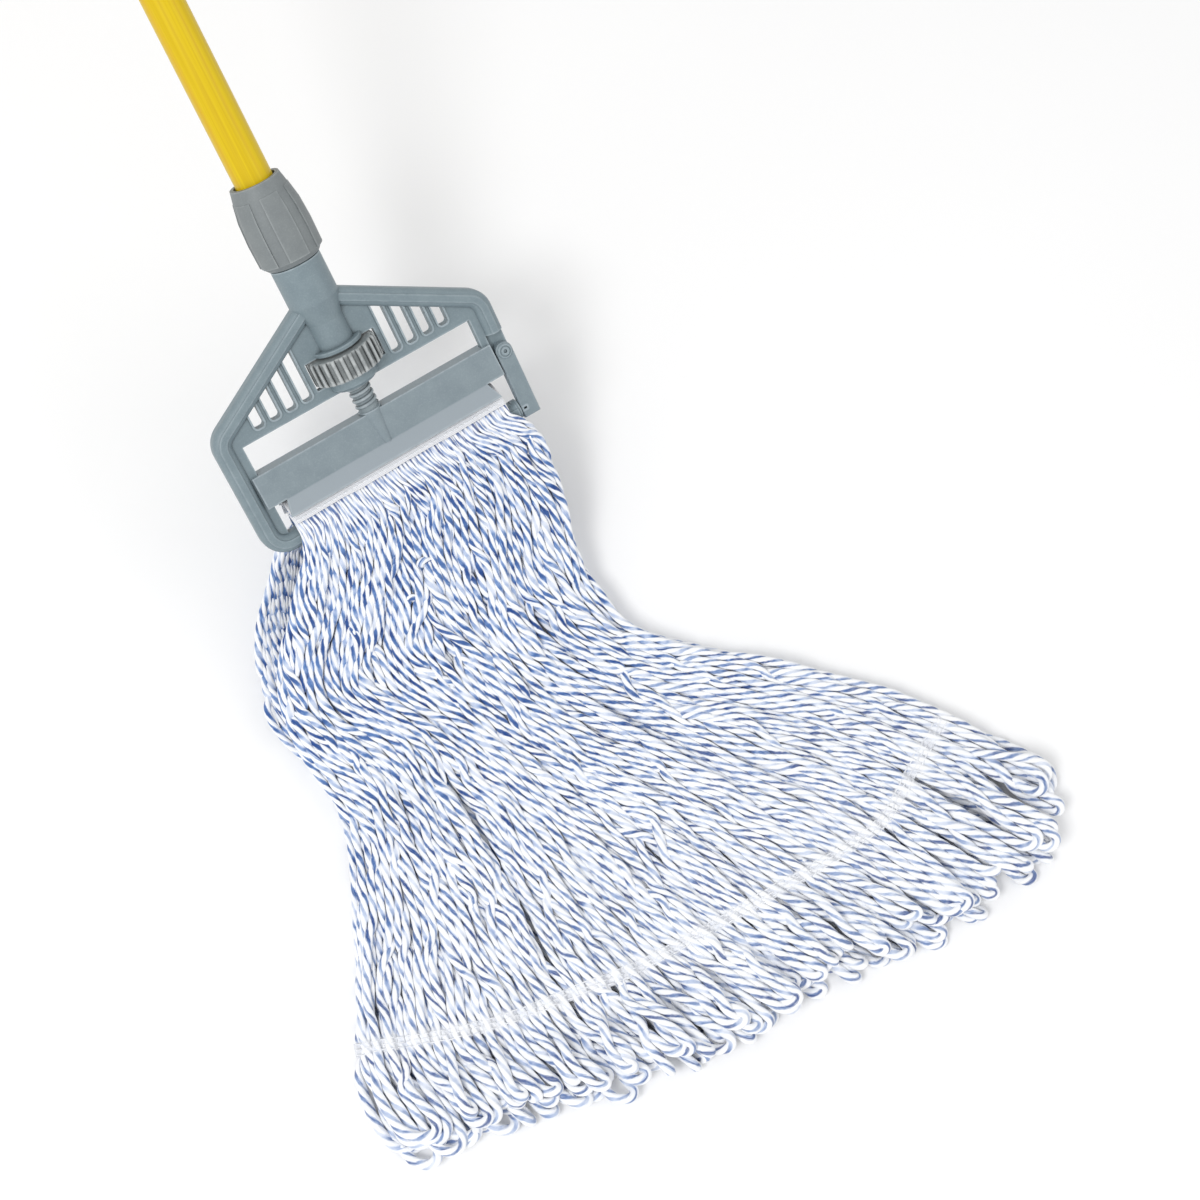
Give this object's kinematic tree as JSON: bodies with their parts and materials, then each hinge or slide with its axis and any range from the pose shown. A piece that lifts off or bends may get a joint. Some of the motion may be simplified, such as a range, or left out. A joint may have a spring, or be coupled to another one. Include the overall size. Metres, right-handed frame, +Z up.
{
  "type": "string mop",
  "caption": "Wet string mop in use: looped yarns fanned on the floor, clamp frame with thumb wheel and swinging side gate, twist-lock collar and long round handle.",
  "frame": {"origin": "on the floor, below the middle of the clamp bar", "axes": "+X along the clamp bar towards the swinging gate, +Y towards the side the handle leans to, +Z up from the floor"},
  "size_m": [0.524, 1.7515, 1.1897],
  "materials": {
    "grey_plastic": "moulded, satin",
    "collar_plastic": "moulded, matte",
    "collet_plastic": "moulded, matte",
    "yellow_tube": "smooth fibreglass with faint streaks",
    "yarn": "twisted multi-ply yarn, white with a blue ply",
    "band_fabric": "woven tape",
    "stitch_thread": "sewn thread"
  },
  "bodies": {
    "yarn_mop": {"yarn_front_left": "yarn", "yarn_front_middle": "yarn", "yarn_front_right": "yarn", "yarn_back_left": "yarn", "yarn_back_middle": "yarn", "yarn_back_right": "yarn", "tail_band_front": "band_fabric", "tail_band_back": "band_fabric", "tail_stitching": "stitch_thread"},
    "frame": {"frame": "grey_plastic", "gate_rivet": "grey_plastic", "headband": "band_fabric", "headband_stitching": "stitch_thread", "yarn_clamped": "yarn"},
    "jaw": {"clamp_jaw": "grey_plastic", "lead_screw": "grey_plastic"},
    "wheel": {"thumb_wheel": "grey_plastic"},
    "gate": {"gate": "grey_plastic"},
    "collet": {"collet": "collet_plastic"},
    "collar": {"collar_nut": "collar_plastic"},
    "handle": {"handle_tube": "yellow_tube", "handle_cap": "collar_plastic"}
  },
  "joints": [
    {"name": "handle_tilt", "type": "hinge", "parent": "yarn_mop", "child": "frame", "pos_m": [0, 0, 0.095], "axis": [1, 0, 0], "range_deg": [-42, 38]},
    {"name": "jaw_slide", "type": "slide", "parent": "frame", "child": "jaw", "axis": [0, 0.766, 0.6428], "range_m": [0, 0.018]},
    {"name": "wheel_turn", "type": "hinge", "parent": "frame", "child": "wheel", "pos_m": [0, 0.06894, 0.15285], "axis": [0, -0.766, -0.6428], "range_deg": [0, 1441]},
    {"name": "gate_swing", "type": "hinge", "parent": "frame", "child": "gate", "pos_m": [0.099, 0.03271, 0.12245], "axis": [0, -0.6428, 0.766], "range_deg": [0, 100]},
    {"name": "collet_slide", "type": "slide", "parent": "frame", "child": "collet", "axis": [0, 0.766, 0.6428], "range_m": [0, 0.003]},
    {"name": "collar_turn", "type": "hinge", "parent": "collet", "child": "collar", "pos_m": [0, 0.14555, 0.21713], "axis": [0, 0.766, 0.6428], "range_deg": [0, 361]},
    {"name": "handle_pull", "type": "slide", "parent": "frame", "child": "handle", "axis": [0, 0.766, 0.6428], "range_m": [0, 0.1]}
  ],
  "couplings": [
    {"joint": "wheel_turn", "follows": "jaw_slide", "rad_per_m": 1396.3},
    {"joint": "collar_turn", "follows": "collet_slide", "rad_per_m": 2094.4}
  ]
}
